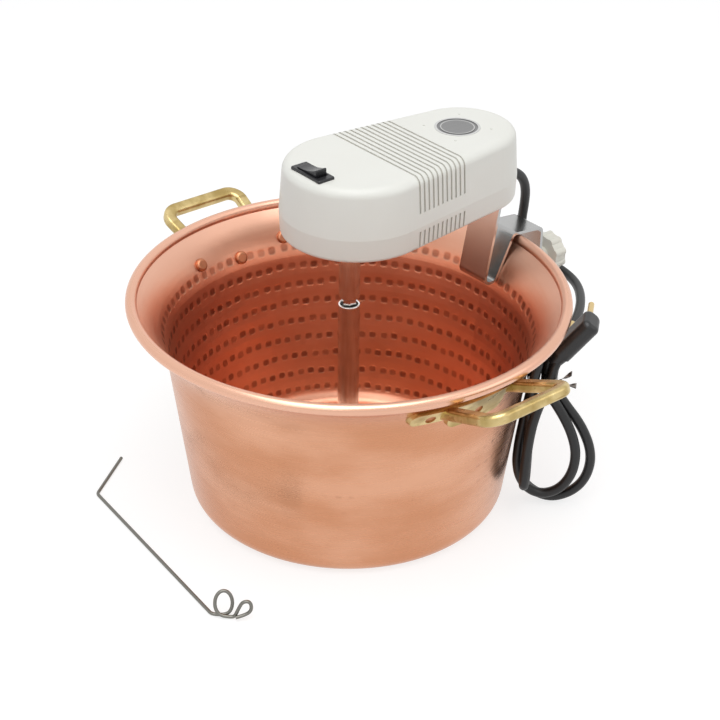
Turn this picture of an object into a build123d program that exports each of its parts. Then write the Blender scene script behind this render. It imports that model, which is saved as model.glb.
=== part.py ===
"""Electric polenta maker: a hammered copper pot, a motor clamped to its rim, and a stirrer.

Millimetres. The origin is the middle of the pot's base, on the surface it stands on.
+Z is up, +X points from the pot's axis to the clamp, and the handles stand on the Y axis.
"""
from build123d import *
from math import acos, asin, atan, atan2, cos, degrees, pi, radians, sin, sqrt, tan
import os

os.makedirs("parts", exist_ok=True)

# Clearances
seat_gap = 0.05          # between pieces that are fastened together
running_gap = 0.07       # all round a journal in its bush
free_gap = 0.3           # between pieces that move past each other
mesh_gap = 0.15          # between meshing teeth

# Pot
rim_radius = 140.0
pot_height = 147.0
wall_slope = 7.15        # degrees from upright
sheet = 1.6
corner_radius = 12.0
bead_radius = 3.6
bead_out = 0.8           # from the end of the flare to the bead's centre
bead_up = 1.4
flare_radius = 56.0
flare_end_slope = 50.0

# Handles
strap_thickness = 3.0
strap_height = 10.0
strap_lobe = 19.0
strap_span = 46.0        # degrees round the pot
leg_spacing = 50.0
grip_length = 68.0
grip_reach = 54.5        # along the slope of its legs
grip_slope = 22.8        # of the legs, upwards and out under the rim
grip_width = 8.5
grip_depth = 7.0
rivet_step = 16.5        # degrees round the pot
rivet_drop = 22.0        # below the rim
middle_rivet_drop = 28.0
rivet_shank = 4.8
rivet_head = 9.0
rivet_recess = 6.6
head_height = 2.6
head_gap = 0.15
set_depth = 0.9

# Motor housing
front_radius = 47.0
rear_radius = 36.5
front_centre = 4.0
rear_centre = rim_radius - 50.0
rim_to_housing = 40.0
lower_shell_height = 15.0
upper_shell_height = 31.5
draft = 2.5              # how much smaller the plan is at the top
top_rounding = 6.0
bottom_rounding = 2.5
shell_wall = 2.6
groove_count = 11
groove_pitch = 4.0
groove_width = 1.5
groove_depth = 0.9
groove_start = 17.5
upper_band = 8.5         # plain height over the parting line
lower_band = 3.0
badge_radius = 14.5
badge_rim = 1.6
badge_height = 0.8
dot_radius = 0.8
dot_spacing = 30.0

# Switch
switch_x = -29.0
switch_length = 28.0
switch_width = 12.0
switch_flange = 1.6
switch_body_depth = 13.0
rocker_length = 19.0
rocker_width = 8.0
rocker_tilt = 11.0       # half of its throw
rocker_rise = 4.6

# Gear case
strip_thickness = 2.0
plate = 2.0
gear_room = 15.0
plate_front = -31.0
plate_rear_gap = 18.5    # from the end of the plates to the rear of the housing
plate_half_width = 27.5
post_radius = 3.0
post_end_radius = 1.5
output_teeth, second_pinion_teeth, output_module = 48, 12, 1.25
second_teeth, first_pinion_teeth, second_module = 40, 12, 1.0
first_teeth, motor_teeth, first_module = 50, 10, 0.8
output_face = 5.5
second_face = 3.5
first_face = 3.0
axle_radius = 2.0
bush_wall = 2.5
shaft_radius = 6.75

# Motor
stack_height = 16.0
stack_length = 46.0
stack_width = 48.0
rotor_radius = 12.5
air_gap = 0.4
coil_width = 30.0
motor_shaft_radius = 2.0

# Shaft and stirrer
shaft_dip = 6.0          # of the shaft's shoulder below the rim
spigot_across = 8.0
spigot_length = 27.0
coupling_gap = 5.0       # between the shoulder and the tube
tube_radius = 6.9
tube_wall = 1.2
blade_clearance = 18.7   # from the blade's end to the wall's foot
blade_height = 24.0
blade_thickness = 2.5
blade_angle = -40.0      # where the blade stands at rest
foot_height = 9.0

# Bracket and clamp
strip_width = 25.0
leg_top_inset = 20.5     # inwards from the rim
leg_foot_inset = 34.5
fold_drop = 28.0         # below the rim
leg_slope = 26.0         # of the leg that lies against the flare
hook_reach = 16.5        # outwards from the rim
hook_drop = 2.5
hook_leg_length = 41.0
fold_radius = 3.5
leg_corner = 4.0
screw_drop = 30.0        # below the rim
screw_radius = 3.0
nut_across = 10.0
nut_thickness = 5.0
pad_radius = 6.0
knob_radius = 14.0
knob_thickness = 10.0
knob_stand_off = 15.0    # from the leg to the knob
knob_lobes = 9

# Cord
cord_radius = 3.25
exit_side = 8.0
exit_rise = 8.4          # above the housing's bottom
exit_inset = 2.5         # from the rear of the housing
exit_slope = 28.0
relief_length = 22.0
relief_root = 4.9
relief_neck = 4.9        # half of the length inside the wall
hank_angle = -50.0       # degrees round the pot
hank_thickness = 14.0
plug_length = 38.0
plug_neck = 8.0
plug_width = 20.0        # along the pins
plug_thickness = 12.0
pin_radius = 2.0
pin_length = 18.5
pin_spacing = 18.6

# Loose wire hook
hook_wire = 1.0
hook_loop = 6.0


# Heights and places that follow the pot's rim
rivet_height = pot_height - rivet_drop
middle_rivet_height = pot_height - middle_rivet_drop
housing_bottom = pot_height + rim_to_housing
parting_height = housing_bottom + lower_shell_height
housing_top = parting_height + upper_shell_height
shoulder_height = pot_height - shaft_dip
tube_top = shoulder_height - coupling_gap
screw_height = pot_height - screw_drop
hook_outer_x = rim_radius + hook_reach
hook_leg_foot = pot_height - hook_leg_length
leg_top_x = rim_radius - leg_top_inset
knob_inner_x = hook_outer_x + knob_stand_off
plate_rear = rear_centre + rear_radius - plate_rear_gap
floor_top = housing_bottom + shell_wall
plate_bottom = floor_top + strip_thickness + seat_gap
exit_point = (rear_centre + rear_radius - exit_inset, exit_side, housing_bottom + exit_rise)


# Pot profile

def polar(radius, angle):
    """A point at an angle in degrees, in the plane."""
    return (radius * cos(radians(angle)), radius * sin(radians(angle)))


flare_turn = radians(wall_slope)
bead_centre = (rim_radius - bead_radius, pot_height - bead_radius)
flare_centre = (
    bead_centre[0] - bead_out + flare_radius * cos(radians(flare_end_slope)),
    bead_centre[1] - bead_up - flare_radius * sin(radians(flare_end_slope)),
)
flare_start_height = flare_centre[1] + flare_radius * sin(flare_turn)
flare_start_radius = flare_centre[0] - flare_radius * cos(flare_turn)
base_radius = flare_start_radius - flare_start_height * tan(flare_turn)


def flare_point(slope, offset=0.0):
    """Radius and height on the flare where the wall leans out by slope degrees."""
    reach = flare_radius + offset
    return (
        flare_centre[0] - reach * cos(radians(slope)),
        flare_centre[1] + reach * sin(radians(slope)),
    )


def wall_slope_at(height):
    """How far the outer wall leans out at a height, in degrees."""
    if height <= flare_start_height:
        return wall_slope
    return degrees(asin((height - flare_centre[1]) / flare_radius))


def wall_radius_at(height, offset=0.0):
    """Outer radius of the wall at a height, offset outwards in the radial plane."""
    slope = wall_slope_at(height)
    if height <= flare_start_height:
        radius = base_radius + height * tan(flare_turn)
    else:
        radius = flare_point(slope)[0]
    return radius + offset / cos(radians(slope))



def wall_line(offset, foot, top_slope):
    """Points of the wall surface: its foot, the start of the flare, a middle point and its end."""
    lean = flare_turn
    start = flare_point(degrees(lean), -offset)
    foot_radius = base_radius + foot * tan(lean) + offset / cos(lean)
    return [
        (foot_radius, foot),
        start,
        flare_point((degrees(lean) + top_slope) / 2, -offset),
        flare_point(top_slope, -offset),
    ]


with BuildPart() as pot:
    outer = wall_line(0.0, 0.0, flare_end_slope)
    inner = wall_line(-sheet, sheet, flare_end_slope)
    with BuildSketch(Plane.XZ):
        with BuildLine():
            floor_line = Line((0, 0), outer[0])
            outer_wall = Line(outer[0], outer[1])
            ThreePointArc(outer[1], outer[2], outer[3])
            Line(outer[3], inner[3])
            ThreePointArc(inner[3], inner[2], inner[1])
            Polyline(inner[1], inner[0], (0, sheet), (0, 0))
        make_face()
        corners = vertices().filter_by(lambda v: v.Y < sheet + 1 and v.X > 1).sort_by(Axis.Y)
        fillet(corners[0], corner_radius)
        fillet(vertices().filter_by(lambda v: abs(v.Y - sheet) < 0.01 and v.X > 1), corner_radius - sheet)
        with Locations(bead_centre):
            Circle(bead_radius)
    revolve(axis=Axis.Z)


def wall_plane(angle, height, offset=0.0):
    """A plane on the outer wall, with its z axis along the outward normal."""
    slope = radians(wall_slope_at(height))
    radius = wall_radius_at(height)
    out = Vector(cos(radians(angle)), sin(radians(angle)), 0)
    normal = out * cos(slope) + Vector(0, 0, -sin(slope))
    across = Vector(-sin(radians(angle)), cos(radians(angle)), 0)
    centre = out * radius + Vector(0, 0, height) + normal * offset
    return Plane(origin=centre, x_dir=across, z_dir=normal)


def rivet_planes(side, offset=0.0):
    """The three rivet places of one handle, at side degrees round the pot."""
    return [
        wall_plane(side - rivet_step, rivet_height, offset),
        wall_plane(side, middle_rivet_height, offset),
        wall_plane(side + rivet_step, rivet_height, offset),
    ]


# The rivet holes go through the pot after its sides are named
with BuildPart() as pot_with_holes:
    add(pot.part)
    for place in rivet_planes(-90) + rivet_planes(90):
        with BuildSketch(place):
            Circle(rivet_shank / 2 + seat_gap)
        extrude(amount=3 * sheet, both=True, mode=Mode.SUBTRACT)
pot_with_holes.part.label = "pot"
export_step(pot_with_holes.part, "parts/pot.step")


# Handles: a strap that follows the wall, and a cast grip on two legs

strap_foot = rivet_height - 2 * strap_lobe

with BuildPart() as strap_band:
    near_face = wall_line(seat_gap, strap_foot, 44.0)
    far_face = wall_line(strap_thickness, strap_foot, 44.0)
    with BuildSketch(Plane.XZ):
        with BuildLine():
            Line(near_face[0], near_face[1])
            ThreePointArc(near_face[1], near_face[2], near_face[3])
            Line(near_face[3], far_face[3])
            ThreePointArc(far_face[3], far_face[2], far_face[1])
            Polyline(far_face[1], far_face[0], near_face[0])
        make_face()
    revolve(axis=Axis.Z)

strap_half = wall_radius_at(rivet_height) * sin(radians(strap_span / 2))
strap_top = rivet_height + strap_height / 2
grip_height = strap_top - strap_height / 2 - 1.0
wall_at_grip = sqrt(wall_radius_at(grip_height) ** 2 - (leg_spacing / 2) ** 2)
leg_angle = degrees(asin(leg_spacing / 2 / wall_radius_at(grip_height)))
grip_lean = Vector(0, sin(radians(grip_slope)), cos(radians(grip_slope)))
grip_out = Vector(0, -cos(radians(grip_slope)), sin(radians(grip_slope)))
grip_plane = Plane(origin=(0, -wall_at_grip, grip_height), x_dir=(1, 0, 0), z_dir=grip_lean)
leg_start = Vector(-leg_spacing / 2, -wall_at_grip, grip_height) - grip_out * 6

with BuildPart() as grip:
    with BuildLine(grip_plane) as grip_path:
        FilletPolyline(
            (-leg_spacing / 2, 6),
            (-leg_spacing / 2, -3),
            (-grip_length / 2 + grip_width / 2, -grip_reach + grip_width / 2),
            (grip_length / 2 - grip_width / 2, -grip_reach + grip_width / 2),
            (leg_spacing / 2, -3),
            (leg_spacing / 2, 6),
            radius=[14.0, 8.5, 8.5, 14.0],
        )
    with BuildSketch(Plane(leg_start, x_dir=(1, 0, 0), z_dir=grip_out)):
        RectangleRounded(grip_width, grip_depth, 2.4)
    sweep(path=grip_path.wires()[0])
    # The legs end half way through the strap
    for side in (-90 - leg_angle, -90 + leg_angle):
        with BuildSketch(wall_plane(side, grip_height, strap_thickness / 2)):
            Rectangle(3 * grip_width, 4 * grip_depth)
        extrude(amount=-4 * grip_width, mode=Mode.SUBTRACT)

with BuildPart() as handle_near:
    with BuildSketch(Plane.XZ):
        with Locations((0, rivet_height)):
            RectangleRounded(2 * strap_half, strap_height, strap_height / 2 - 0.5)
        with Locations((0, strap_top - strap_lobe / 2)):
            RectangleRounded(leg_spacing - 6, strap_lobe, 6)
    extrude(amount=rim_radius)
    add(strap_band.part, mode=Mode.INTERSECT)
    add(grip.part)
    for place in rivet_planes(-90):
        with BuildSketch(place):
            Circle(rivet_recess / 2)
        extrude(amount=3 * strap_thickness, mode=Mode.SUBTRACT)
handle_near.part.label = "handle_near"
export_step(handle_near.part, "parts/handle_near.step")

with BuildPart() as handle_far:
    mirror(handle_near.part, about=Plane.XZ)
handle_far.part.label = "handle_far"
export_step(handle_far.part, "parts/handle_far.step")


def rivet_group(side):
    """Three rivets: a domed head inside the pot, a shank, and a set head in the strap."""
    with BuildPart() as group:
        for inside, outside in zip(rivet_planes(side, -sheet - head_gap), rivet_planes(side, 0.2)):
            with BuildSketch(inside):
                Circle(rivet_head / 2)
            extrude(amount=-head_height)
            with BuildSketch(inside):
                Circle(rivet_shank / 2)
            extrude(amount=sheet + head_gap + 0.2)
            with BuildSketch(outside):
                Circle(rivet_recess / 2 - seat_gap)
            extrude(amount=strap_thickness - set_depth - 0.2)
        dome_rims = edges().filter_by(
            lambda e: e.geom_type == GeomType.CIRCLE and abs(e.radius - rivet_head / 2) < 0.001
        )
        fillet(dome_rims.filter_by(lambda e: Vector(e.arc_center.X, e.arc_center.Y, 0).length <
                                   wall_radius_at(e.arc_center.Z) - sheet - head_height / 2), head_height * 0.8)
    return group.part


for name, side in (("rivets_near", -90), ("rivets_far", 90)):
    rivets = rivet_group(side)
    rivets.label = name
    export_step(rivets, "parts/" + name + ".step")


# Motor housing: two moulded shells, split by a level parting line

def plan(inset=0.0):
    """Sketch of the housing's tapered plan, smaller by inset all round."""
    with BuildSketch() as sketch:
        with Locations((front_centre, 0)):
            Circle(front_radius - inset)
        with Locations((rear_centre, 0)):
            Circle(rear_radius - inset)
        make_hull()
    return sketch.sketch


def raised(sketch, height):
    """The sketch at a height."""
    return Location((0, 0, height)) * sketch


with BuildPart() as upper_form:
    with BuildSketch(Plane.XY.offset(parting_height)):
        add(plan())
    with BuildSketch(Plane.XY.offset(housing_top)):
        add(plan(draft))
    loft(ruled=True)
    fillet(faces().sort_by(Axis.Z)[-1].edges(), top_rounding)

with BuildPart() as upper_core:
    with BuildSketch(Plane.XY.offset(parting_height)):
        add(plan(shell_wall))
    with BuildSketch(Plane.XY.offset(housing_top - shell_wall)):
        add(plan(draft + shell_wall))
    loft(ruled=True)
    fillet(faces().sort_by(Axis.Z)[-1].edges(), top_rounding - shell_wall)

with BuildPart() as lower_form:
    with BuildSketch(Plane.XY.offset(housing_bottom)):
        add(plan(0.6))
    with BuildSketch(Plane.XY.offset(parting_height)):
        add(plan())
    loft(ruled=True)
    fillet(faces().sort_by(Axis.Z)[0].edges(), bottom_rounding)

groove_xs = [groove_start + groove_pitch * i for i in range(groove_count)]
groove_middle = (groove_xs[0] + groove_xs[-1]) / 2


def groove_slabs(bottom, top):
    """Thin slabs across the housing, one for each groove."""
    with BuildPart() as slabs:
        with BuildSketch(Plane.XY.offset(bottom)):
            with GridLocations(groove_pitch, 0, groove_count, 1):
                with Locations((groove_middle, 0)):
                    Rectangle(groove_width, 3 * front_radius)
        extrude(amount=top - bottom)
    return slabs.part


with BuildPart() as upper_groove_floor:
    with BuildSketch(Plane.XY.offset(parting_height)):
        add(plan(groove_depth))
    with BuildSketch(Plane.XY.offset(housing_top - groove_depth)):
        add(plan(draft + groove_depth))
    loft(ruled=True)
    fillet(faces().sort_by(Axis.Z)[-1].edges(), top_rounding - groove_depth)

with BuildPart() as upper_grooves:
    add(groove_slabs(parting_height + upper_band, housing_top + 1))
    add(upper_groove_floor.part, mode=Mode.SUBTRACT)

with BuildPart() as lower_grooves:
    add(groove_slabs(housing_bottom - 1, parting_height - lower_band))
    with BuildSketch(Plane.XY.offset(housing_bottom - 1)):
        add(plan(groove_depth + 0.6))
    with BuildSketch(Plane.XY.offset(parting_height)):
        add(plan(groove_depth))
    loft(ruled=True, mode=Mode.SUBTRACT)

# Gear train centres, from the pitch radii
second_x = output_module * (output_teeth + second_pinion_teeth) / 2
first_x = second_x + second_module * (second_teeth + first_pinion_teeth) / 2
motor_x = first_x + first_module * (first_teeth + motor_teeth) / 2

boss_radius = 3.6
boss_places = [(-18.0, 32.5), (-18.0, -32.5), (58.0, 32.4), (58.0, -32.4)]
post_places = [(-26.0, 23.5), (-26.0, -23.5), (50.5, 22.8), (50.5, -22.8),
               (plate_rear - 7.0, 18.0), (plate_rear - 7.0, -18.0)]
bracket_screw_places = [(leg_top_x - 23.5, 8.0), (leg_top_x - 23.5, -8.0)]
pilot_radius = 1.2
screw_clear = 1.7

slot_x = leg_top_x - 1.4
exit_direction = Vector(cos(radians(exit_slope)), 0, -sin(radians(exit_slope)))
exit_plane = Plane(origin=exit_point, x_dir=(0, 1, 0), z_dir=exit_direction)

with BuildPart() as upper_shell:
    add(upper_form.part)
    add(upper_core.part, mode=Mode.SUBTRACT)
    with BuildSketch(Plane.XY.offset(parting_height)):
        with Locations(*boss_places):
            Circle(boss_radius)
    extrude(amount=housing_top - shell_wall / 2 - parting_height)
    with Locations(*[(x, y, parting_height) for x, y in boss_places]):
        Cylinder(pilot_radius, 12, align=(Align.CENTER, Align.CENTER, Align.MIN), mode=Mode.SUBTRACT)
    add(upper_grooves.part, mode=Mode.SUBTRACT)
    with BuildSketch(Plane.XY.offset(housing_top + 1)):
        with Locations((switch_x, 0)):
            Rectangle(switch_width - 2.0, switch_length - 5.0)
    extrude(amount=-2 * shell_wall - 2, mode=Mode.SUBTRACT)
    with BuildSketch(Plane.XY.offset(housing_top)):
        with Locations((rear_centre - 4, 0)):
            with GridLocations(dot_spacing, dot_spacing, 2, 2):
                Circle(dot_radius)
    extrude(amount=0.3)
    with BuildSketch(Plane.XY.offset(housing_top)):
        with Locations((rear_centre - 4, 0)):
            Circle(badge_radius + seat_gap)
    extrude(amount=-badge_height, mode=Mode.SUBTRACT)
    chamfer(faces().sort_by(Axis.Z)[0].outer_wire().edges(), 0.35)
upper_shell.part.label = "upper_shell"
export_step(upper_shell.part, "parts/upper_shell.step")

with BuildPart() as lower_shell:
    add(lower_form.part)
    with BuildSketch(Plane.XY.offset(floor_top)):
        add(plan(shell_wall))
    extrude(amount=housing_top, mode=Mode.SUBTRACT)
    with BuildSketch(Plane.XY.offset(housing_bottom + 1)):
        with Locations(*boss_places):
            Circle(boss_radius)
    extrude(amount=parting_height - housing_bottom - 1)
    with BuildSketch(Plane.XY.offset(housing_bottom + 1)):
        with Locations(*post_places[:4]):
            Circle(post_radius)
    extrude(amount=plate_bottom - housing_bottom - 1)
    add(lower_grooves.part, mode=Mode.SUBTRACT)
    with BuildSketch(Plane.XY.offset(housing_bottom - 2)):
        with Locations(*boss_places):
            Circle(screw_clear)
        Circle(shaft_radius + 1.0)
        with Locations((slot_x, 0)):
            Rectangle(strip_thickness + 5.6, strip_width + 0.8)
        with Locations(*bracket_screw_places):
            Circle(screw_clear)
    extrude(amount=parting_height, mode=Mode.SUBTRACT)
    with BuildSketch(Plane.XY.offset(housing_bottom - 2)):
        with Locations(*boss_places):
            Circle(screw_clear + 1.4)
    extrude(amount=5.0, mode=Mode.SUBTRACT)
    with BuildSketch(exit_plane):
        Circle(relief_root - 1.2)
    extrude(amount=12, both=True, mode=Mode.SUBTRACT)
    chamfer(faces().sort_by(Axis.Z)[-1].outer_wire().edges(), 0.35)
lower_shell.part.label = "lower_shell"
export_step(lower_shell.part, "parts/lower_shell.step")

with BuildPart() as badge_disc:
    with BuildSketch(Plane.XY.offset(housing_top - badge_height)):
        with Locations((rear_centre - 4, 0)):
            Circle(badge_radius)
    extrude(amount=badge_height + 0.25)
    with BuildSketch(Plane.XY.offset(housing_top + 0.25)):
        with Locations((rear_centre - 4, 0)):
            Circle(badge_radius - badge_rim)
            Circle(badge_radius - 2 * badge_rim, mode=Mode.SUBTRACT)
    extrude(amount=-0.3, mode=Mode.SUBTRACT)
badge_disc.part.label = "badge_disc"
export_step(badge_disc.part, "parts/badge_disc.step")


def cap_screw(x, y, head_bottom, length, radius, head_radius, head_height, up=True):
    """A pan-head screw, its head below and its thread going up."""
    with BuildPart() as screw:
        with BuildSketch(Plane.XY.offset(head_bottom)):
            with Locations((x, y)):
                Circle(head_radius)
        extrude(amount=head_height)
        fillet(faces().sort_by(Axis.Z)[0].edges(), head_height * 0.4)
        with BuildSketch(Plane.XY.offset(head_bottom)):
            with Locations((x, y)):
                Rectangle(head_radius * 1.3, 0.6)
                Rectangle(0.6, head_radius * 1.3)
        extrude(amount=head_height * 0.5, mode=Mode.SUBTRACT)
        with BuildSketch(Plane.XY.offset(head_bottom + head_height)):
            with Locations((x, y)):
                Circle(radius)
        extrude(amount=length)
    return screw.part


with BuildPart() as housing_screws:
    for x, y in boss_places:
        add(cap_screw(x, y, housing_bottom + 0.8, parting_height + 8 - housing_bottom - 3,
                      pilot_radius - 0.05, screw_clear + 1.1, 2.2))
housing_screws.part.label = "housing_screws"
export_step(housing_screws.part, "parts/housing_screws.step")


# Rocker switch across the front of the housing

with BuildPart() as switch_frame:
    with BuildSketch(Plane.XY.offset(housing_top)):
        with Locations((switch_x, 0)):
            RectangleRounded(switch_width, switch_length, 1.2)
    extrude(amount=switch_flange)
    chamfer(faces().sort_by(Axis.Z)[-1].edges(), 0.5)
    with BuildSketch(Plane.XY.offset(housing_top)):
        with Locations((switch_x, 0)):
            Rectangle(switch_width - 2.2, switch_length - 5.2)
    extrude(amount=-switch_body_depth)
    with BuildSketch(Plane.XY.offset(housing_top + switch_flange)):
        with Locations((switch_x, 0)):
            Rectangle(rocker_width + 2 * free_gap, rocker_length + 2 * free_gap)
    extrude(amount=-switch_flange - 6.0, mode=Mode.SUBTRACT)
    with Locations((switch_x, 0, housing_top - 0.4)):
        Cylinder(1.0 + running_gap, switch_width - 3.0, rotation=(0, 90, 0), mode=Mode.SUBTRACT)
    with Locations(*[(switch_x, y, housing_top - switch_body_depth) for y in (-8.0, 0.0, 8.0)]):
        Box(0.8, 4.8, 6.0, align=(Align.CENTER, Align.CENTER, Align.MAX))
switch_frame.part.label = "switch_frame"
export_step(switch_frame.part, "parts/switch_frame.step")

pivot_height = housing_top - 0.4
pivot_plane = Plane(origin=(switch_x, 0, pivot_height), x_dir=(0, 1, 0), z_dir=(1, 0, 0))

with BuildPart() as switch_rocker:
    with BuildSketch(pivot_plane) as rocker_side:
        with BuildLine():
            half = rocker_length / 2
            Polyline(
                (0, -4.2),
                (-half + 1.6, -2.4),
                (-half + 0.4, rocker_rise),
            )
            ThreePointArc((-half + 0.4, rocker_rise), (0, rocker_rise - 1.2), (half - 0.4, rocker_rise))
            Polyline(
                (half - 0.4, rocker_rise),
                (half - 1.6, -2.4),
                (0, -4.2),
            )
        make_face()
    extrude(amount=rocker_width / 2, both=True)
    fillet(edges().filter_by(Axis.X).sort_by(Axis.Z)[-2:], 0.6)
    with BuildSketch(pivot_plane):
        Circle(1.0)
    extrude(amount=(switch_width - 3.4) / 2, both=True)
tilted_rocker = switch_rocker.part.rotate(Axis((switch_x, 0, pivot_height), (1, 0, 0)), -rocker_tilt)
tilted_rocker.label = "switch_rocker"
export_step(tilted_rocker, "parts/switch_rocker.step")


# Gear case: two plates on posts, and three spur stages between them

plate_top = plate_bottom + plate
upper_plate_bottom = plate_top + gear_room
output_level = plate_top + 1.0
second_level = output_level + output_face + 0.5
first_level = second_level + second_face + 0.5
bush_radius = shaft_radius + bush_wall


def gear_plate(bottom, rear):
    """One plate of the gear case, with its bores."""
    with BuildPart() as one_plate:
        with BuildSketch(Plane.XY.offset(bottom)):
            with Locations(((plate_front + rear) / 2, 0)):
                RectangleRounded(rear - plate_front, 2 * plate_half_width, 8)
            Circle(bush_radius, mode=Mode.SUBTRACT)
            with Locations((second_x, 0), (first_x, 0)):
                Circle(axle_radius, mode=Mode.SUBTRACT)
            with Locations(*post_places):
                Circle(post_end_radius, mode=Mode.SUBTRACT)
        extrude(amount=plate)
    return one_plate


with BuildPart() as gear_plate_lower:
    add(gear_plate(plate_bottom, plate_rear).part)
    with BuildSketch(Plane.XY.offset(plate_bottom)):
        with Locations(*bracket_screw_places):
            Circle(pilot_radius)
    extrude(amount=plate, mode=Mode.SUBTRACT)
gear_plate_lower.part.label = "gear_plate_lower"
export_step(gear_plate_lower.part, "parts/gear_plate_lower.step")

with BuildPart() as gear_plate_upper:
    add(gear_plate(upper_plate_bottom, plate_rear).part)
    with BuildSketch(Plane.XY.offset(upper_plate_bottom)):
        with Locations((motor_x, 0)):
            Circle(motor_shaft_radius + 2.5)
    extrude(amount=plate, mode=Mode.SUBTRACT)
gear_plate_upper.part.label = "gear_plate_upper"
export_step(gear_plate_upper.part, "parts/gear_plate_upper.step")

with BuildPart() as plate_posts:
    with BuildSketch(Plane.XY.offset(plate_top)):
        with Locations(*post_places):
            Circle(post_radius)
    extrude(amount=gear_room)
    with BuildSketch(Plane.XY.offset(plate_bottom)):
        with Locations(*post_places):
            Circle(post_end_radius - seat_gap)
    extrude(amount=2 * plate + gear_room)
plate_posts.part.label = "plate_posts"
export_step(plate_posts.part, "parts/plate_posts.step")

with BuildPart() as gear_axles:
    with BuildSketch(Plane.XY.offset(plate_bottom)):
        with Locations((second_x, 0), (first_x, 0)):
            Circle(axle_radius - 0.01)
    extrude(amount=2 * plate + gear_room)
gear_axles.part.label = "gear_axles"
export_step(gear_axles.part, "parts/gear_axles.step")

with BuildPart() as shaft_bushes:
    for bottom, flange in ((plate_bottom - 1.5, plate_bottom - 1.5), (upper_plate_bottom, upper_plate_bottom + plate)):
        with BuildSketch(Plane.XY.offset(bottom)):
            Circle(bush_radius - 0.01)
        extrude(amount=plate + 1.5)
        with BuildSketch(Plane.XY.offset(flange)):
            Circle(bush_radius + 2.0)
        extrude(amount=1.45)
    with BuildSketch(Plane.XY.offset(housing_bottom)):
        Circle(shaft_radius + running_gap)
    extrude(amount=housing_top - housing_bottom, mode=Mode.SUBTRACT)
shaft_bushes.part.label = "shaft_bushes"
export_step(shaft_bushes.part, "parts/shaft_bushes.step")


def gear_sketch(teeth, module, turn=0.0, flank_gap=mesh_gap):
    """Spur gear outline: a root circle with one straight-flanked tooth per pitch."""
    pitch_radius = teeth * module / 2
    root = pitch_radius - 1.25 * module
    tip = pitch_radius + 0.95 * module
    foot_half = 1.15 * module
    tip_half = 0.42 * module
    flank = flank_gap / 2
    with BuildSketch() as sketch:
        Circle(root)
        with PolarLocations(0, teeth, start_angle=turn):
            with BuildLine():
                Polyline(
                    (root - 0.3 * module, foot_half - flank),
                    (tip, tip_half - flank),
                    (tip, -tip_half + flank),
                    (root - 0.3 * module, -foot_half + flank),
                    close=True,
                )
            make_face()
    return sketch.sketch


def placed(sketch, x, z):
    """The sketch at a height, with its centre on the X axis."""
    return Location((x, 0, z)) * sketch


# A gap of the output gear faces the pinion's tooth, and so on along the train
half_output = 180.0 / output_teeth
half_second = 180.0 / second_teeth
half_first = 180.0 / first_teeth

with BuildPart() as output_gear:
    with BuildSketch(Plane.XY.offset(output_level)):
        add(gear_sketch(output_teeth, output_module, half_output))
        Circle(shaft_radius, mode=Mode.SUBTRACT)
        with PolarLocations(19.0, 6):
            Circle(5.0, mode=Mode.SUBTRACT)
    extrude(amount=output_face)
output_gear.part.label = "output_gear"
export_step(output_gear.part, "parts/output_gear.step")

with BuildPart() as second_gear:
    with BuildSketch(Plane.XY.offset(output_level)):
        add(placed(gear_sketch(second_pinion_teeth, output_module, 180.0), second_x, 0))
    extrude(amount=output_face + 0.5)
    with BuildSketch(Plane.XY.offset(second_level)):
        add(placed(gear_sketch(second_teeth, second_module, half_second), second_x, 0))
    extrude(amount=second_face)
    with BuildSketch(Plane.XY.offset(output_level)):
        with Locations((second_x, 0)):
            Circle(axle_radius + running_gap)
    extrude(amount=gear_room, mode=Mode.SUBTRACT)
second_gear.part.label = "second_gear"
export_step(second_gear.part, "parts/second_gear.step")

with BuildPart() as first_gear:
    with BuildSketch(Plane.XY.offset(second_level - 4.0)):
        with Locations((first_x, 0)):
            Circle(axle_radius + 2.0)
    extrude(amount=4.0)
    with BuildSketch(Plane.XY.offset(second_level)):
        add(placed(gear_sketch(first_pinion_teeth, second_module, 180.0), first_x, 0))
    extrude(amount=second_face + 0.5)
    with BuildSketch(Plane.XY.offset(first_level)):
        add(placed(gear_sketch(first_teeth, first_module, half_first), first_x, 0))
    extrude(amount=first_face)
    with BuildSketch(Plane.XY.offset(output_level)):
        with Locations((first_x, 0)):
            Circle(axle_radius + running_gap)
    extrude(amount=gear_room, mode=Mode.SUBTRACT)
first_gear.part.label = "first_gear"
export_step(first_gear.part, "parts/first_gear.step")


# Motor over the upper plate, its rotor on an upright shaft

stack_bottom = upper_plate_bottom + plate
stack_top = stack_bottom + stack_height
stack_x = motor_x - 2.0
bore_radius = rotor_radius + air_gap
coil_x = stack_x - stack_length / 2 + 6.0

with BuildPart() as motor_stack:
    with BuildSketch(Plane.XY.offset(stack_bottom)):
        with Locations((stack_x, 0)):
            RectangleRounded(stack_length, stack_width, 3)
        with Locations((motor_x + 2, 0)):
            Circle(bore_radius + 6.5)
        with Locations((motor_x, 0)):
            Circle(bore_radius, mode=Mode.SUBTRACT)
        with Locations((coil_x + 9.0, 20.0), (coil_x + 9.0, -20.0)):
            Rectangle(6.0, 6.0, mode=Mode.SUBTRACT)
        with Locations(*post_places[4:]):
            Circle(post_end_radius + 0.1, mode=Mode.SUBTRACT)
    extrude(amount=stack_height)
    with BuildSketch(Plane.XY.offset(stack_bottom)):
        with Locations((coil_x - 4.0, 0)):
            Rectangle(16.0, coil_width)
    extrude(amount=stack_height, mode=Mode.SUBTRACT)
motor_stack.part.label = "motor_stack"
export_step(motor_stack.part, "parts/motor_stack.step")

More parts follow.
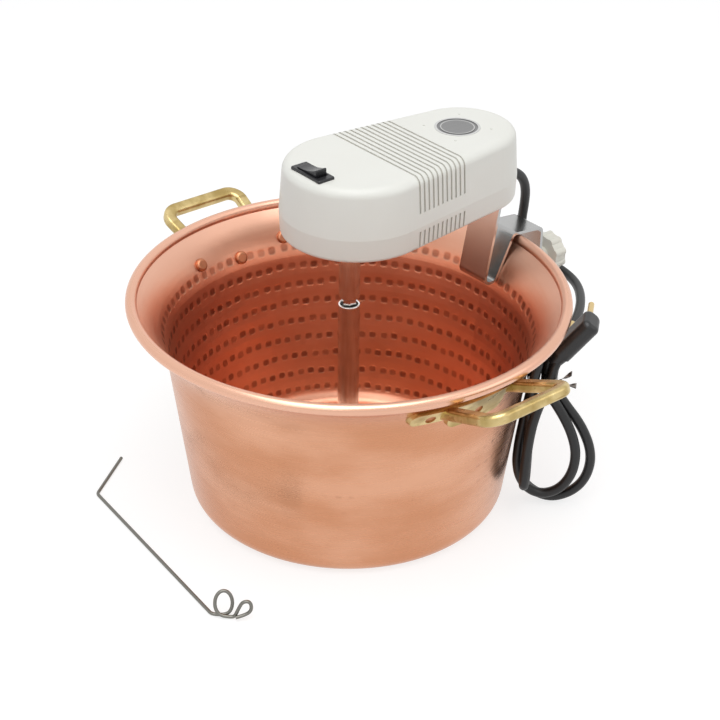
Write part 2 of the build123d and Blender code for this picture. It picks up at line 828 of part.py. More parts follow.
with BuildPart() as motor_coil:
    with BuildSketch(Plane.XY.offset(stack_bottom + seat_gap)):
        with Locations((coil_x - 4.6, 0)):
            RectangleRounded(14.6, coil_width - 0.6, 3)
    extrude(amount=stack_height + 1.0)
    fillet(faces().sort_by(Axis.Z)[-1].edges(), 2.5)
motor_coil.part.label = "motor_coil"
export_step(motor_coil.part, "parts/motor_coil.step")

with BuildPart() as motor_bridge:
    with BuildSketch(Plane.XY.offset(stack_top)):
        with Locations((motor_x + 1, 0)):
            RectangleRounded(12, stack_width - 4, 3)
        with Locations((motor_x, 0)):
            Circle(8.0)
            Circle(motor_shaft_radius + running_gap, mode=Mode.SUBTRACT)
    extrude(amount=2.0)
motor_bridge.part.label = "motor_bridge"
export_step(motor_bridge.part, "parts/motor_bridge.step")

with BuildPart() as motor_bush:
    with BuildSketch(Plane.XY.offset(upper_plate_bottom)):
        with Locations((motor_x, 0)):
            Circle(motor_shaft_radius + 2.49)
            Circle(motor_shaft_radius + running_gap, mode=Mode.SUBTRACT)
    extrude(amount=plate)
motor_bush.part.label = "motor_bush"
export_step(motor_bush.part, "parts/motor_bush.step")

with BuildPart() as rotor_core:
    with BuildSketch(Plane.XY.offset(stack_bottom + 0.6)):
        with Locations((motor_x, 0)):
            Circle(rotor_radius)
            Circle(motor_shaft_radius, mode=Mode.SUBTRACT)
    extrude(amount=stack_height - 1.4)
rotor_core.part.label = "rotor_core"
export_step(rotor_core.part, "parts/rotor_core.step")

with BuildPart() as motor_shaft:
    with BuildSketch(Plane.XY.offset(first_level - 0.2)):
        add(placed(gear_sketch(motor_teeth, first_module, 180.0), motor_x, 0))
    extrude(amount=first_face + 0.6)
    with BuildSketch(Plane.XY.offset(first_level)):
        with Locations((motor_x, 0)):
            Circle(motor_shaft_radius)
    extrude(amount=stack_top + 2.3 - first_level)
motor_shaft.part.label = "motor_shaft"
export_step(motor_shaft.part, "parts/motor_shaft.step")


# Drive shaft and stirrer, all on the pot's axis

hex_radius = spigot_across / 2 / cos(pi / 6)
shaft_top = upper_plate_bottom + plate + 4.5

with BuildPart() as drive_shaft:
    with BuildSketch(Plane.XY.offset(shoulder_height)):
        Circle(shaft_radius)
    extrude(amount=shaft_top - shoulder_height)
    chamfer(faces().sort_by(Axis.Z)[0].edges() + faces().sort_by(Axis.Z)[-1].edges(), 0.5)
    with BuildSketch(Plane.XY.offset(shoulder_height)):
        RegularPolygon(hex_radius, 6)
    extrude(amount=-spigot_length)
    with BuildSketch(Plane.XY.offset(shaft_top - 2.6)):
        Circle(shaft_radius + 1)
        Circle(shaft_radius - 0.6, mode=Mode.SUBTRACT)
    extrude(amount=1.0, mode=Mode.SUBTRACT)
drive_shaft.part.label = "drive_shaft"
export_step(drive_shaft.part, "parts/drive_shaft.step")

with BuildPart() as shaft_clip:
    with BuildSketch(Plane.XY.offset(shaft_top - 2.55)):
        Circle(shaft_radius + 2.0)
        Circle(shaft_radius - 0.55, mode=Mode.SUBTRACT)
        with Locations((shaft_radius + 1, 0)):
            Rectangle(6, 3, mode=Mode.SUBTRACT)
    extrude(amount=0.9)
shaft_clip.part.label = "shaft_clip"
export_step(shaft_clip.part, "parts/shaft_clip.step")

blade_reach = base_radius - blade_clearance
tube_foot = sheet + free_gap + foot_height - 2.0
blade_bottom = sheet + 1.0

with BuildPart() as stirrer_tube:
    with BuildSketch(Plane.XY.offset(tube_foot)):
        Circle(tube_radius)
        Circle(tube_radius - tube_wall, mode=Mode.SUBTRACT)
    extrude(amount=tube_top - tube_foot)
    fillet(faces().sort_by(Axis.Z)[-1].edges(), tube_wall * 0.4)
stirrer_tube.part.label = "stirrer_tube"
export_step(stirrer_tube.part, "parts/stirrer_tube.step")

socket_top = tube_top - 3.0

with BuildPart() as drive_socket:
    with BuildSketch(Plane.XY.offset(shoulder_height - spigot_length - 2)):
        Circle(tube_radius - tube_wall - 0.01)
        RegularPolygon(hex_radius + 0.12, 6, mode=Mode.SUBTRACT)
    extrude(amount=socket_top - (shoulder_height - spigot_length - 2))
drive_socket.part.label = "drive_socket"
export_step(drive_socket.part, "parts/drive_socket.step")

with BuildPart() as stirrer_foot:
    with BuildSketch(Plane.XY.offset(sheet + free_gap)):
        Circle(tube_radius)
    extrude(amount=foot_height - 2.0)
    fillet(faces().sort_by(Axis.Z)[0].edges(), 2.0)
    with BuildSketch(Plane.XY.offset(tube_foot)):
        Circle(tube_radius - tube_wall - 0.01)
    extrude(amount=8.0)
stirrer_foot.part.label = "stirrer_foot"
export_step(stirrer_foot.part, "parts/stirrer_foot.step")

with BuildPart() as stirrer_blade:
    with BuildSketch(Plane.XY.offset(blade_bottom)):
        with BuildLine():
            arm = ThreePointArc((0, 0), (blade_reach / 2, -9.0), (blade_reach, 0))
            offset(amount=blade_thickness / 2)
        make_face()
        with BuildLine():
            arm = ThreePointArc((0, 0), (-blade_reach / 2, 9.0), (-blade_reach, 0))
            offset(amount=blade_thickness / 2)
        make_face()
    extrude(amount=blade_height)
    with BuildSketch(Plane.XZ.offset(-40)):
        with BuildLine():
            Polyline(
                (tube_radius, blade_bottom + blade_height),
                (blade_reach + 5, blade_bottom + 11),
                (blade_reach + 5, blade_bottom + blade_height + 5),
                (tube_radius, blade_bottom + blade_height + 5),
                close=True,
            )
        make_face()
        with BuildLine():
            Polyline(
                (-tube_radius, blade_bottom + blade_height),
                (-blade_reach - 5, blade_bottom + 11),
                (-blade_reach - 5, blade_bottom + blade_height + 5),
                (-tube_radius, blade_bottom + blade_height + 5),
                close=True,
            )
        make_face()
    extrude(amount=80, mode=Mode.SUBTRACT)
    with BuildSketch(Plane.XY.offset(blade_bottom)):
        Circle(tube_radius + 2.5)
    extrude(amount=blade_height + 4)
    with BuildSketch(Plane.XY.offset(blade_bottom - 1)):
        Circle(tube_radius + seat_gap)
    extrude(amount=blade_height + 6, mode=Mode.SUBTRACT)
turned_blade = stirrer_blade.part.rotate(Axis.Z, blade_angle)
turned_blade.label = "stirrer_blade"
export_step(turned_blade, "parts/stirrer_blade.step")


# Bracket: one folded strip from the gear case, down into the pot and over its rim

half_strip = strip_thickness / 2
flange_z = floor_top + half_strip
seat_back = strip_width ** 2 / (8 * wall_radius_at(screw_height)) + 0.12
touch = flare_point(leg_slope, sheet + seat_back + half_strip)
rise = Vector(sin(radians(leg_slope)), cos(radians(leg_slope)))
hook_top = pot_height + seat_gap + half_strip + 0.9
hook_inner = (touch[0] + (hook_top + 0.6 - touch[1]) * tan(radians(leg_slope)), hook_top + 0.6)
fold_foot_height = pot_height - fold_drop
fold_inner = (rim_radius - leg_foot_inset, fold_foot_height)
fold_outer = (touch[0] - (touch[1] - fold_foot_height) * tan(radians(leg_slope)), fold_foot_height)
hook_outer = (hook_outer_x, hook_top - hook_drop)

with BuildPart() as bracket_strip:
    with BuildSketch(Plane.XZ):
        with BuildLine() as strip_line:
            FilletPolyline(
                (bracket_screw_places[0][0] - 12.0, flange_z),
                (leg_top_x, flange_z),
                fold_inner,
                fold_outer,
                hook_inner,
                hook_outer,
                (hook_outer_x, hook_leg_foot - strip_thickness),
                radius=[fold_radius, 4.2, 4.2, fold_radius, fold_radius],
            )
            offset(amount=half_strip, kind=Kind.TANGENT)
        make_face()
    extrude(amount=strip_width / 2, both=True)
    with BuildSketch(Plane.YZ.offset(hook_outer_x)):
        with Locations((0, screw_height)):
            Circle(screw_radius + 0.5)
    extrude(amount=5, both=True, mode=Mode.SUBTRACT)
    with BuildSketch(Plane.XY.offset(flange_z)):
        with Locations(*bracket_screw_places):
            Circle(screw_clear)
    extrude(amount=5, both=True, mode=Mode.SUBTRACT)
    with BuildSketch(Plane.YZ.offset(hook_outer_x)):
        with Locations((0, hook_leg_foot)):
            Rectangle(strip_width + 4, 4 * strip_thickness)
        with Locations((0, hook_leg_foot + strip_width / 2)):
            RectangleRounded(strip_width, strip_width, leg_corner, mode=Mode.SUBTRACT)
    extrude(amount=strip_thickness, both=True, mode=Mode.SUBTRACT)
bracket_strip.part.label = "bracket_strip"
export_step(bracket_strip.part, "parts/bracket_strip.step")

with BuildPart() as bracket_screws:
    for x, y in bracket_screw_places:
        add(cap_screw(x, y, housing_bottom - 1.8, shell_wall + 2 * plate + 1.2, pilot_radius - 0.02, 2.8, 1.78))
bracket_screws.part.label = "bracket_screws"
export_step(bracket_screws.part, "parts/bracket_screws.step")

leg_outer_face = hook_outer_x + half_strip
screw_axis = Axis((0, 0, screw_height), (1, 0, 0))

with BuildPart() as clamp_nut:
    with BuildSketch(Plane.YZ.offset(leg_outer_face)):
        with Locations((0, screw_height)):
            RegularPolygon(nut_across / 2, 6, major_radius=False)
            Circle(screw_radius + running_gap, mode=Mode.SUBTRACT)
    extrude(amount=nut_thickness)
clamp_nut.part.label = "clamp_nut"
export_step(clamp_nut.part, "parts/clamp_nut.step")

# The pad's dome stays a free gap off the flare
dome_reach = flare_radius - free_gap - pad_radius
dome_x = flare_centre[0] - sqrt(dome_reach ** 2 - (screw_height - flare_centre[1]) ** 2)
pad_back = dome_x + 6.0
screw_tip = dome_x + 0.5

with BuildPart() as clamp_pad:
    with BuildSketch(Plane.XZ):
        with BuildLine():
            ThreePointArc(
                (dome_x - pad_radius, screw_height),
                (dome_x - pad_radius * cos(pi / 4), screw_height + pad_radius * sin(pi / 4)),
                (dome_x, screw_height + pad_radius),
            )
            Polyline(
                (dome_x, screw_height + pad_radius),
                (pad_back - 1, screw_height + pad_radius),
                (pad_back, screw_height + pad_radius - 1),
                (pad_back, screw_height),
                (dome_x - pad_radius, screw_height),
            )
        make_face()
    revolve(axis=screw_axis)
    with BuildSketch(Plane.YZ.offset(screw_tip - 0.3)):
        with Locations((0, screw_height)):
            Circle(2.0 + running_gap)
    extrude(amount=10, mode=Mode.SUBTRACT)
clamp_pad.part.label = "clamp_pad"
export_step(clamp_pad.part, "parts/clamp_pad.step")

with BuildPart() as clamp_screw:
    with BuildSketch(Plane.YZ.offset(screw_tip)):
        with Locations((0, screw_height)):
            Circle(2.0)
    extrude(amount=pad_back + free_gap - screw_tip)
    with BuildSketch(Plane.YZ.offset(pad_back + free_gap)):
        with Locations((0, screw_height)):
            Circle(screw_radius)
    extrude(amount=knob_inner_x + knob_thickness - 3 - pad_back - free_gap)
    chamfer(edges().filter_by(GeomType.CIRCLE).sort_by(Axis.X)[0], 0.5)
clamp_screw.part.label = "clamp_screw"
export_step(clamp_screw.part, "parts/clamp_screw.step")

with BuildPart() as clamp_knob:
    with BuildSketch(Plane.YZ.offset(knob_inner_x)):
        with Locations((0, screw_height)):
            Circle(knob_radius - 1.0)
            with PolarLocations(knob_radius - 2.6, knob_lobes):
                Circle(2.9)
    extrude(amount=knob_thickness)
    fillet(faces().sort_by(Axis.X)[-1].edges(), 1.2)
    with BuildSketch(Plane.YZ.offset(knob_inner_x)):
        with Locations((0, screw_height)):
            Circle(5.5)
    extrude(amount=-2.5)
    with BuildSketch(Plane.YZ.offset(knob_inner_x + knob_thickness)):
        with Locations((0, screw_height)):
            Circle(7.0)
    extrude(amount=-1.2, mode=Mode.SUBTRACT)
    with BuildSketch(Plane.YZ.offset(knob_inner_x - 3)):
        with Locations((0, screw_height)):
            Circle(screw_radius + 0.01)
    extrude(amount=knob_thickness, mode=Mode.SUBTRACT)
clamp_knob.part.label = "clamp_knob"
export_step(clamp_knob.part, "parts/clamp_knob.step")


# Mains cord: a relief in the rear wall, a free stretch round the clamp, and a tied hank

with BuildPart() as strain_relief:
    with BuildSketch(exit_plane.offset(-relief_neck)):
        Circle(relief_root - 1.25)
    extrude(amount=2 * relief_neck)
    with BuildSketch(exit_plane.offset(-relief_neck)):
        Circle(relief_root)
    extrude(amount=-1.5)
    with BuildSketch(exit_plane.offset(relief_neck)):
        Circle(relief_root)
    with BuildSketch(exit_plane.offset(relief_length)):
        Circle(cord_radius + 0.5)
    loft()
    with BuildSketch(exit_plane.offset(relief_length - 9)):
        Circle(cord_radius)
    extrude(amount=12, mode=Mode.SUBTRACT)
strain_relief.part.label = "strain_relief"
export_step(strain_relief.part, "parts/strain_relief.step")

relief_end = Vector(exit_point) + exit_direction * (relief_length - 9)
cord_points = [
    tuple(relief_end),
    (149.0, 8.0, 182.1),
    (156.6, 8.6, 174.8),
    (161.2, 10.0, 164.6),
    (163.6, 13.0, 151.0),
    (166.4, 17.4, 136.4),
    (172.4, 20.6, 121.4),
    (182.2, 18.0, 108.4),
    (190.6, 8.0, 99.6),
    (192.0, -8.0, 96.6),
    (184.0, -25.0, 97.4),
    (168.0, -43.0, 99.6),
    (149.0, -58.5, 101.4),
    (128.0, -71.0, 102.6),
    (108.0, -81.4, 102.8),
    (89.8, -95.7, 102.0),
]


def corner_radii(points):
    """The largest tangent arc at each corner that leaves a tenth of each run straight."""
    radii = []
    for before, corner, after in zip(points, points[1:], points[2:]):
        arriving = Vector(corner) - Vector(before)
        leaving = Vector(after) - Vector(corner)
        half_turn = radians(arriving.get_angle(leaving)) / 2
        radii.append(0.45 * min(arriving.length, leaving.length) / tan(half_turn))
    return radii


cord_radii = corner_radii(cord_points)
print("cord radii", [round(r) for r in cord_radii])

with BuildPart() as power_cord:
    with BuildLine() as cord_path:
        FilletPolyline(*cord_points, radius=cord_radii)
    with BuildSketch(Plane(origin=cord_points[0], z_dir=exit_direction)):
        Circle(cord_radius)
    sweep(path=cord_path.wires()[0])
cord_length = cord_path.wires()[0].length
print("cord tube", round(cord_length, 1), "mm, volume over section", round(power_cord.part.volume / pi / cord_radius ** 2, 1))
power_cord.part.label = "power_cord"
export_step(power_cord.part, "parts/power_cord.step")

# The hank stands on the floor, on edge, and leans against the pot
hank_out = Vector(*polar(1.0, hank_angle), 0)
hank_side = Vector(-sin(radians(hank_angle)), cos(radians(hank_angle)), 0)
hank_plane = Plane(origin=(0, 0, 0), x_dir=hank_out, z_dir=-hank_side)
hank_outline = [
    (131.0, 110.0),
    (147.0, 86.0),
    (160.5, 58.0),
    (163.2, 36.0),
    (155.0, 13.0),
    (134.0, 0.3),
    (115.5, 13.0),
    (108.8, 38.0),
    (114.0, 70.0),
    (121.0, 95.0),
]
hank_hollow = [
    (133.0, 82.0),
    (141.0, 66.0),
    (145.8, 46.0),
    (144.5, 29.0),
    (137.0, 17.5),
    (128.0, 15.5),
    (121.0, 22.0),
    (120.5, 38.0),
    (125.5, 60.0),
    (129.5, 75.0),
]

with BuildPart() as cord_hank:
    with BuildSketch(hank_plane):
        with BuildLine():
            Spline(*hank_outline, periodic=True)
        make_face()
        with BuildLine():
            Spline(*hank_hollow, periodic=True)
        make_face(mode=Mode.SUBTRACT)
    extrude(amount=hank_thickness / 2, both=True)
cord_hank.part.label = "cord_hank"
export_step(cord_hank.part, "parts/cord_hank.step")


def hank_point(radius, height, side=0.0):
    """A point of the hank's own frame, in the part's frame."""
    return hank_out * radius + Vector(0, 0, height) + hank_side * side


tie_height = 96.0
tie_plane = Plane(origin=hank_point(133.6, tie_height), x_dir=hank_out, z_dir=(0.0, 0.0, 1.0))

with BuildPart() as cord_tie:
    with BuildSketch(tie_plane):
        RectangleRounded(27.5, hank_thickness + 3.4, 4)
    extrude(amount=6)
    with BuildSketch(hank_plane):
        with BuildLine():
            Spline(*hank_outline, periodic=True)
        make_face()
    extrude(amount=hank_thickness / 2, both=True, mode=Mode.SUBTRACT)
cord_tie.part.label = "cord_tie"
export_step(cord_tie.part, "parts/cord_tie.step")

# The plug stands out of the top of the hank, outwards past the rim
plug_lean = 36.0
plug_axis = hank_out * sin(radians(plug_lean)) + Vector(0, 0, cos(radians(plug_lean)))
plug_start = hank_point(131.0, 109.0)
plug_plane = Plane(origin=plug_start, x_dir=hank_side, z_dir=plug_axis)
pin_middle = plug_start + plug_axis * (plug_neck + plug_length) / 2 + hank_side * (plug_width * 0.75)
pin_face = Plane(origin=pin_middle, x_dir=plug_axis.cross(hank_side), z_dir=hank_side)

with BuildPart() as plug_body:
    with BuildSketch(plug_plane):
        Circle(cord_radius + 1.0)
    with BuildSketch(plug_plane.offset(plug_neck)):
        RectangleRounded(plug_width * 0.5, plug_thickness * 0.85, 4.5)
    loft(ruled=True)
    with BuildSketch(plug_plane.offset(plug_neck)):
        with Locations((plug_width / 4, 0)):
            RectangleRounded(plug_width, plug_thickness, 5.0)
    extrude(amount=plug_length - plug_neck)
    fillet(faces().sort_by(Axis(plug_start, plug_axis))[-1].edges(), 3.5)
    with BuildSketch(pin_face) as pin_places:
        with GridLocations(0, pin_spacing, 1, 2):
            Circle(pin_radius)
    extrude(amount=-6, mode=Mode.SUBTRACT)
plug_body.part.label = "plug_body"
export_step(plug_body.part, "parts/plug_body.step")

with BuildPart() as plug_pins:
    with BuildSketch(pin_face.offset(-6)):
        with GridLocations(0, pin_spacing, 1, 2):
            Circle(pin_radius)
    extrude(amount=6 + pin_length)
    fillet(faces().sort_by(Axis(plug_start, hank_side))[-2:].edges(), 1.2)
plug_pins.part.label = "plug_pins"
export_step(plug_pins.part, "parts/plug_pins.step")


# Loose wire hook on the floor: a short foot, a long stem, a round loop and a small eye

hook_foot = (-106.0, 114.0, hook_wire)
hook_knee = (-141.0, 88.0, hook_wire)
stem_end = (-146.0, -52.0, hook_wire)
along = (Vector(stem_end) - Vector(hook_knee)).normalized()
aside = Vector(-along.Y, along.X, 0)


def loop_point(turn, radius, advance, shift):
    """A corner of an upright loop, measured along the stem from its end."""
    reach = Vector(stem_end) + along * (advance + radius * sin(radians(turn)))
    return tuple(reach + aside * shift + Vector(0, 0, radius * (1 - cos(radians(turn)))))


loop_corner = hook_loop / cos(pi / 8)
hook_points = [hook_foot, hook_knee]
for i in range(9):
    turn = -22.5 + 45 * i + 45
    centre = Vector(stem_end) + along * 6.0 + Vector(0, 0, hook_loop)
    corner = centre + along * (loop_corner * sin(radians(turn))) + Vector(0, 0, -loop_corner * cos(radians(turn)))
    corner = corner + aside * (2.6 * i / 8)
    hook_points.append(tuple(corner))
eye_start = Vector(hook_points[-1])
hook_points[-1] = tuple(eye_start + along * 4.0)
base = Vector(hook_points[-1])
hook_points.append(tuple(base + along * 9.5 + Vector(0, 0, 1.5) + aside * 0.8))
hook_points.append(tuple(base + along * 9.0 + Vector(0, 0, 8.5) + aside * 1.4))
hook_points.append(tuple(base + along * 3.0 + Vector(0, 0, 5.5) + aside * 2.2))
hook_points.append(tuple(base + along * -1.0 + Vector(0, 0, 0.6) + aside * 3.0))
hook_radii = [min(r, 12.0) for r in corner_radii(hook_points)]
hook_radii[0] = 4.0
print("hook radii", [round(r, 1) for r in hook_radii])

with BuildPart() as wire_hook:
    with BuildLine() as hook_path:
        FilletPolyline(*hook_points, radius=hook_radii)
    with BuildSketch(Plane(origin=hook_foot, z_dir=Vector(hook_knee) - Vector(hook_foot))):
        Circle(hook_wire)
    sweep(path=hook_path.wires()[0])
wire_hook.part.label = "wire_hook"
export_step(wire_hook.part, "parts/wire_hook.step")
print("wire hook", round(hook_path.wires()[0].length), "mm")
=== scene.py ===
"""Electric polenta maker: its finishes, its cord, a plain studio and the camera, in metres."""
from math import cos, floor, pi, radians, sin

import bpy
from mathutils import Matrix, Vector


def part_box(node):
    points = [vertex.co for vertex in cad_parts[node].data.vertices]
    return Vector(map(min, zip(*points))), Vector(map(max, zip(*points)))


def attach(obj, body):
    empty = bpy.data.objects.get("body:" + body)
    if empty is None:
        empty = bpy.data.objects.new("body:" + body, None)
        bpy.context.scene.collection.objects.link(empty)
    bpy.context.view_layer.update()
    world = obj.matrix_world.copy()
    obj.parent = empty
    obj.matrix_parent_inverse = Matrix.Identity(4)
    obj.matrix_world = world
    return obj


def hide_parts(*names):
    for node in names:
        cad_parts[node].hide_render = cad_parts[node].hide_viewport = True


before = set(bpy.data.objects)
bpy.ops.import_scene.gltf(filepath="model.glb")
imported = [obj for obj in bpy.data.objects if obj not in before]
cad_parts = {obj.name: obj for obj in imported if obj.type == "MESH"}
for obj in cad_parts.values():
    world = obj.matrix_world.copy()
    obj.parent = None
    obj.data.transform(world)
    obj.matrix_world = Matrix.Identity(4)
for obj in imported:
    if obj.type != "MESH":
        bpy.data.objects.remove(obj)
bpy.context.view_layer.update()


# Pot: one sheet of copper, spun to a trumpet flare with a rolled rim, then planished. Rows of
# square punch marks stiffen its inside. Each is painted dark brown: painted shade in its dent.
# Outside, they show through as short dashes with the same painted shade, mostly on one stretch.
MM = 0.001


class Value:
    """A value in a material. Python's operators on it add the maths nodes that they stand for."""

    def __init__(self, finish, socket):
        self.finish = finish
        self.socket = socket

    def output(self, name):
        """Another output of the same node."""
        return Value(self.finish, self.socket.node.outputs[name])

    def maths(self, operation, *terms):
        """Add one maths node."""
        return self.finish.node("Math", {"operation": operation}, dict(enumerate(terms)))

    def __add__(self, other):
        return self.maths("ADD", self, other)

    def __sub__(self, other):
        return self.maths("SUBTRACT", self, other)

    def __rsub__(self, other):
        return self.maths("SUBTRACT", other, self)

    def __mul__(self, other):
        return self.maths("MULTIPLY", self, other)

    def __truediv__(self, other):
        return self.maths("DIVIDE", self, other)

    def __pow__(self, other):
        return self.maths("POWER", self, other)

    def __abs__(self):
        return self.maths("ABSOLUTE", self)

    def __floor__(self):
        return self.maths("FLOOR", self)

    def __mod__(self, other):
        return self.maths("FLOORED_MODULO", self, other)

    __radd__ = __add__
    __rmul__ = __mul__

    def at_least(self, other):
        """The larger of two values."""
        return self.maths("MAXIMUM", self, other)


class Shading:
    """The nodes of one material, or of the surround."""

    def __init__(self, tree):
        self.tree = tree

    def fill(self, socket, value):
        """Set a socket to a number or a colour, or link a value to it."""
        if isinstance(value, Value):
            self.tree.links.new(value.socket, socket)
        elif socket.type == "RGBA":
            socket.default_value = (*value, 1)
        else:
            socket.default_value = value

    def node(self, kind, settings, sockets, output=0):
        """Add a node: its settings first, then its sockets. Gives one of its outputs."""
        node = self.tree.nodes.new("ShaderNode" + kind)
        for name, setting in settings.items():
            setattr(node, name, setting)
        for name, value in sockets.items():
            self.fill(node.inputs[name], value)
        return Value(self, node.outputs[output])


class Finish(Shading):
    """The material of one kind of surface, round Blender's principled shader."""

    def __init__(self, name, colour, metallic=0.0, roughness=0.5):
        self.material = bpy.data.materials.new(name)
        self.material.use_nodes = True
        super().__init__(self.material.node_tree)
        self.shader = self.tree.nodes["Principled BSDF"]
        self.put("Base Color", colour)
        self.put("Metallic", metallic)
        self.put("Roughness", roughness)

    def put(self, name, value):
        """Give the shader one of its inputs."""
        self.fill(self.shader.inputs[name], value)

    def point(self):
        """The place on the object, in metres."""
        return self.node("TexCoord", {}, {}, "Object")

    def parts(self, vector):
        """The three parts of a vector."""
        x = self.node("SeparateXYZ", {}, {0: vector})
        return x, x.output("Y"), x.output("Z")

    def noise(self, scale, detail=2.0, stretch=(1, 1, 1)):
        """Soft random variation, so many per metre, denser along the axes with more stretch."""
        place = self.node("Mapping", {}, {"Vector": self.point(), "Scale": stretch})
        return self.node("TexNoise", {}, {"Vector": place, "Scale": scale, "Detail": detail})

    def step(self, value, low, high, start=0.0, end=1.0):
        """A smooth change from start to end, as the value goes from low to high."""
        sockets = {0: value, 1: low, 2: high, 3: start, 4: end}
        return self.node("MapRange", {"interpolation_type": "SMOOTHSTEP"}, sockets)

    def blend(self, share, first, second):
        """A colour between two. The mix node's sockets 6 and 7 and its output 2 are colours."""
        return self.node("Mix", {"data_type": "RGBA"}, {0: share, 6: first, 7: second}, 2)

    def relief(self, height, depth, strength=1.0, over=None):
        """Raise the surface by a height from 0 to 1, over an earlier relief if there is one."""
        sockets = {"Height": height, "Distance": depth, "Strength": strength}
        if over is not None:
            sockets["Normal"] = over
        bump = self.node("Bump", {}, sockets)
        self.put("Normal", bump)
        return bump


def dress(finish, *nodes):
    """Give parts of the frame this finish."""
    for node in nodes:
        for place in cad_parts[node].material_slots:
            place.material = finish.material


ROW_PITCH = 13.4 * MM
ROW_FOOT = 5.0 * MM
LAST_ROW = 122.0 * MM
ROW_WAVE = 0.2
MARKS_ROUND = 88
MARK_HALF = 2.9 * MM
MARK_SQUARENESS = 3
DASH_NARROWING, DASH_FLATTENING = 1.5, 2.2
MARKED_RADIUS = 110.0 * MM
# Shares of the space between marks: where a mark lies in it, how far it may stray, and each row's
# shift on the last
MARK_ACROSS, MARK_UP = 0.57, 0.64
STRAY_ACROSS, STRAY_UP = 0.14, 0.08
ROW_SHIFT = 0.43
DASHED_SIDE = radians(-44)
DASHED_HALF_TURN, DASHED_FADE_TURN = 0.14, 0.40
DASHED_MIDDLE = 72 * MM
DASHED_HALF_HEIGHT, DASHED_FADE_HEIGHT = 22 * MM, 44 * MM
OUTSIDE_DULL, OUTSIDE_BRIGHT = (0.60, 0.28, 0.155), (0.72, 0.385, 0.245)
INSIDE_DULL, INSIDE_BRIGHT = (0.70, 0.325, 0.205), (0.79, 0.41, 0.28)
FLARE_COPPER = (0.83, 0.50, 0.37)
MARK_SHADE_BROWN = (0.17, 0.052, 0.028)

copper = Finish("hammered_copper", (0.64, 0.31, 0.18), 1.0, 0.26)
x, y, z = copper.parts(copper.point())
angle = copper.node("Math", {"operation": "ARCTAN2"}, {0: y, 1: x})
outwards = copper.node("CombineXYZ", {}, {0: x, 1: y})
normal = copper.node("NewGeometry", {}, {}, "Normal")
facing = copper.node("VectorMath", {"operation": "DOT_PRODUCT"}, {0: normal, 1: outwards}, "Value")
inside = copper.step(facing, 0.5 * MM, -0.5 * MM)

row = (z - ROW_FOOT) / ROW_PITCH
row_number = floor(row)
along = angle * (MARKS_ROUND / (2 * pi)) + row_number * ROW_SHIFT
cell = copper.node("CombineXYZ", {}, {0: floor(along), 1: row_number})
luck = copper.node("TexWhiteNoise", {}, {"Vector": cell}, "Color")
luck_across, luck_up, luck_deep = copper.parts(luck)
across = (along % 1) - MARK_ACROSS + luck_across * STRAY_ACROSS
up = (row % 1) - MARK_UP + luck_up * STRAY_UP + copper.noise(9.0, 1.0) * ROW_WAVE
wide = abs(across * (2 * pi * MARKED_RADIUS / MARKS_ROUND / MARK_HALF))
tall = abs(up * (ROW_PITCH / MARK_HALF))
squared = (wide ** MARK_SQUARENESS + tall ** MARK_SQUARENESS) ** (1 / MARK_SQUARENESS)
punched = copper.step(squared, 1.1, 0.5)
below_flare = copper.step(z, LAST_ROW + 8 * MM, LAST_ROW - 6 * MM)
punched = punched * (luck_deep * 0.5 + 0.55) * below_flare * inside

flattened = (wide ** 2 * DASH_NARROWING + (tall * DASH_FLATTENING) ** 2) ** 0.5
dash = copper.step(flattened, 1.1, 0.5)
on_dashed_side = copper.step(abs(angle - DASHED_SIDE), DASHED_FADE_TURN, DASHED_HALF_TURN)
at_dashed_height = copper.step(abs(z - DASHED_MIDDLE), DASHED_FADE_HEIGHT, DASHED_HALF_HEIGHT)
stray = copper.step(copper.noise(11.0, 1.0), 0.56, 0.70, 0.0, 0.6)
shown = (on_dashed_side * at_dashed_height).at_least(stray * 0.7)
dashed = dash * shown * (luck_deep * 0.7 + 0.3) * (1 - inside) * below_flare

rings = copper.noise(60.0, 3.0, (0.25, 0.25, 9.0))
beaten = copper.noise(26.0, 2.0, (1, 1, 1.6))
under = copper.relief(rings, 0.08 * MM, 0.5)
under = copper.relief(beaten, 0.9 * MM, 0.32, under)
under = copper.relief(abs((row % 1) - 0.5) * inside * below_flare, 1.2 * MM, 0.35, under)
copper.relief(1 - (punched + dashed), 0.4 * MM, 0.6, under)

patina = copper.noise(11.0, 4.0, (1, 1, 2.4))
outer = copper.blend(copper.step(patina, 0.35, 0.7), OUTSIDE_DULL, OUTSIDE_BRIGHT)
inner = copper.blend(copper.step(patina, 0.3, 0.7), INSIDE_DULL, INSIDE_BRIGHT)
flared = copper.step(z, LAST_ROW, LAST_ROW + 20 * MM, 0.0, 0.75)
clean = copper.blend(flared, copper.blend(inside, outer, inner), FLARE_COPPER)
# The punch marks and dashes are painted dark brown: painted shade in their dents.
copper.put("Base Color", copper.blend(punched * 0.72 + dashed * 0.6, clean, MARK_SHADE_BROWN))
copper.put("Roughness", rings * 0.16 + inside * 0.08 + 0.2)
dress(copper, "pot")


# Handles: cast in brass with a strap along the wall, fettled by hand and polished on the high
# sides.
BRASS_BRIGHT, BRASS_DULL = (0.72, 0.57, 0.28), (0.42, 0.30, 0.11)
BRASS_SCRATCHED = (0.30, 0.20, 0.06)
brass = Finish("cast_brass", (0.72, 0.53, 0.20), 1.0, 0.3)
lumps = brass.noise(160.0, 3.0)
under = brass.relief(brass.noise(1400.0), 0.05 * MM, 0.6)
brass.relief(lumps, 0.4 * MM, 0.6, under)
dull = brass.step(brass.noise(70.0, 4.0), 0.32, 0.68)
scratched = brass.step(brass.noise(260.0, 2.0, (0.1, 1, 1)), 0.62, 0.70)
tone = brass.blend(dull, BRASS_BRIGHT, BRASS_DULL)
brass.put("Base Color", brass.blend(scratched * 0.6, tone, BRASS_SCRATCHED))
brass.put("Roughness", lumps * 0.25 + 0.18)
dress(brass, "handle_near", "handle_far")


